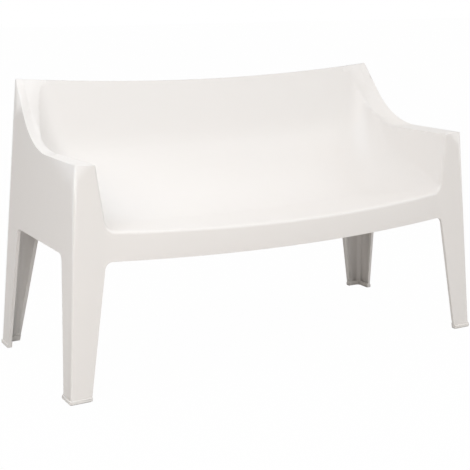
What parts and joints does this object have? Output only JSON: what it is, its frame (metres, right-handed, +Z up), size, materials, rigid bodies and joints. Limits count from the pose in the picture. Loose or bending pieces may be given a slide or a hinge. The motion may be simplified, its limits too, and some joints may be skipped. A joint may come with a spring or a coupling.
{
  "type": "garden bench",
  "caption": "White one-piece moulded garden bench for two, with arms that sweep up into a curved back, an open space below and feet with glides and soft pads.",
  "frame": {"origin": "on the floor, at the middle of the bench's bounding box", "axes": "+X along the bench's length, -Y is the front where a sitter's legs go, +Z up"},
  "size_m": [1.2476, 0.5825, 0.746],
  "materials": {
    "shell_polymer": "satin white moulded technopolymer with a very fine grain",
    "glide_polymer": "smooth white polyamide",
    "pad_rubber": "light grey soft elastomer"
  },
  "bodies": {
    "root": {"moulded_shell": "shell_polymer", "foot_glide_front_left": "glide_polymer", "foot_glide_front_right": "glide_polymer", "foot_glide_rear_left": "glide_polymer", "foot_glide_rear_right": "glide_polymer", "foot_pad_front_left": "pad_rubber", "foot_pad_front_right": "pad_rubber", "foot_pad_rear_left": "pad_rubber", "foot_pad_rear_right": "pad_rubber"}
  },
  "joints": []
}
